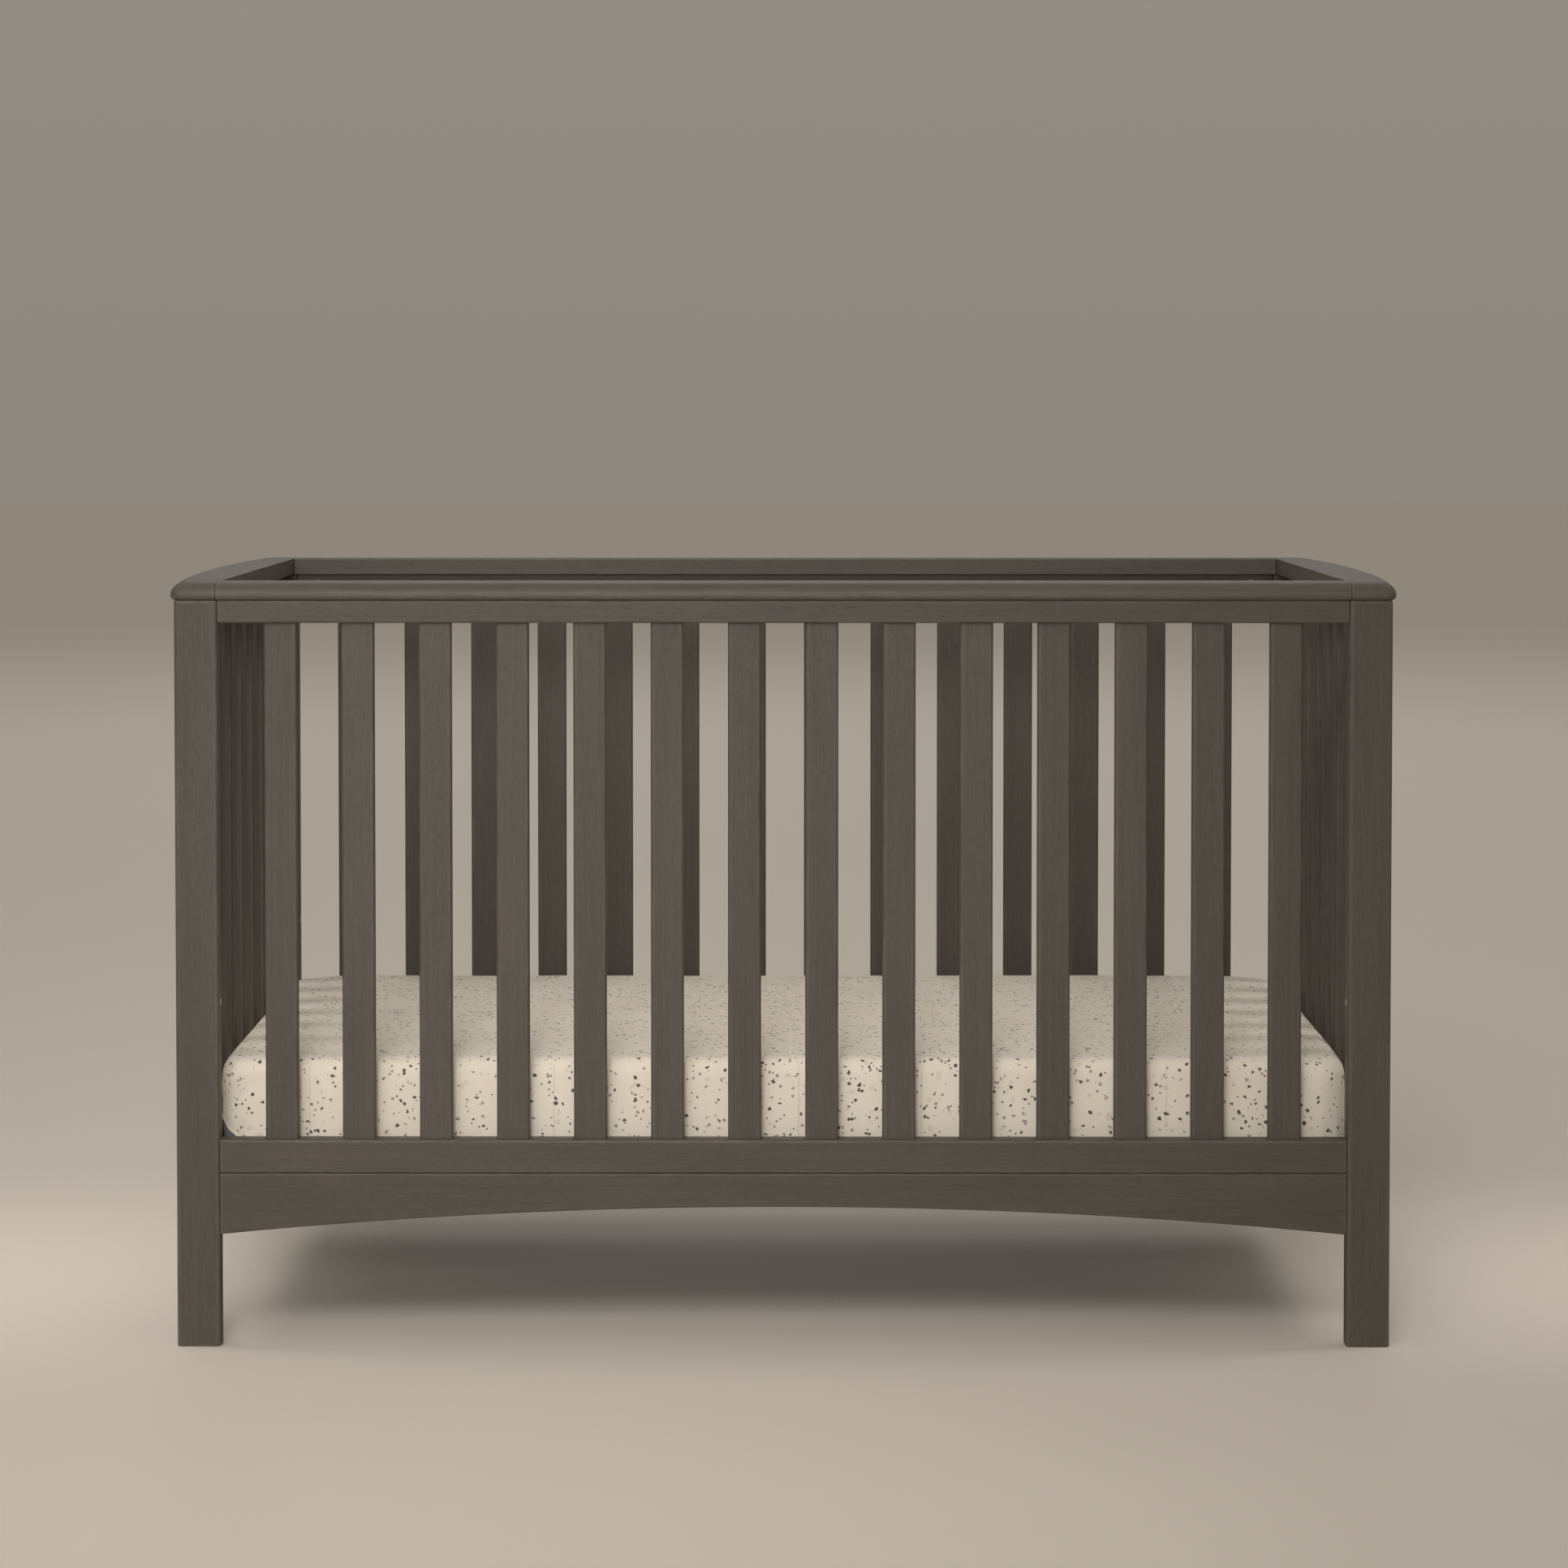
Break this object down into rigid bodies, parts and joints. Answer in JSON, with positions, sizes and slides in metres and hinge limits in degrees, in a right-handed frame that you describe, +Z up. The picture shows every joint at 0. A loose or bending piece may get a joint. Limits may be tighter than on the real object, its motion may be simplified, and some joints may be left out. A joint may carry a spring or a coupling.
{
  "type": "baby crib",
  "caption": "Fixed-side wooden crib with slatted sides, a moulded cap rim, arched aprons, a height-adjustable mattress support and a mattress in a fitted sheet.",
  "frame": {"origin": "on the floor, under the middle of the crib", "axes": "+X along the crib to the right, -Y towards the front, +Z up"},
  "size_m": [1.447, 0.771, 0.883],
  "materials": {
    "wood": "grey-brown stained wood with a fine open grain, satin",
    "support_steel": "grey powder-coated steel",
    "zinc_steel": "bright zinc-plated steel",
    "foam": "blue-grey woven cover over foam, matt",
    "sheet": "cream cotton printed with scattered chips, matt"
  },
  "bodies": {
    "frame": {"back_apron": "wood", "back_bottom_rail": "wood", "back_cap": "wood", "back_left_bottom_connector": "zinc_steel", "back_left_post": "wood", "back_left_support_bolt": "zinc_steel", "back_left_top_connector": "zinc_steel", "back_right_bottom_connector": "zinc_steel", "back_right_post": "wood", "back_right_support_bolt": "zinc_steel", "back_right_top_connector": "zinc_steel", "back_slat_01": "wood", "back_slat_02": "wood", "back_slat_03": "wood", "back_slat_04": "wood", "back_slat_05": "wood", "back_slat_06": "wood", "back_slat_07": "wood", "back_slat_08": "wood", "back_slat_09": "wood", "back_slat_10": "wood", "back_slat_11": "wood", "back_slat_12": "wood", "back_slat_13": "wood", "back_slat_14": "wood", "back_top_rail": "wood", "front_apron": "wood", "front_bottom_rail": "wood", "front_cap": "wood", "front_left_bottom_connector": "zinc_steel", "front_left_post": "wood", "front_left_support_bolt": "zinc_steel", "front_left_top_connector": "zinc_steel", "front_right_bottom_connector": "zinc_steel", "front_right_post": "wood", "front_right_support_bolt": "zinc_steel", "front_right_top_connector": "zinc_steel", "front_slat_01": "wood", "front_slat_02": "wood", "front_slat_03": "wood", "front_slat_04": "wood", "front_slat_05": "wood", "front_slat_06": "wood", "front_slat_07": "wood", "front_slat_08": "wood", "front_slat_09": "wood", "front_slat_10": "wood", "front_slat_11": "wood", "front_slat_12": "wood", "front_slat_13": "wood", "front_slat_14": "wood", "front_top_rail": "wood", "left_end_cap": "wood", "left_end_frame": "wood", "right_end_cap": "wood", "right_end_frame": "wood"},
    "support": {"support_frame": "support_steel", "support_grille": "support_steel"},
    "mattress": {"mattress": "foam", "fitted_sheet": "sheet"}
  },
  "joints": [
    {"name": "support_height", "type": "slide", "parent": "frame", "child": "support", "axis": [0, 0, 1], "range_m": [0, 0.246]},
    {"name": "mattress_lift", "type": "slide", "parent": "support", "child": "mattress", "axis": [0, 0, 1], "range_m": [0, 0.28]}
  ]
}
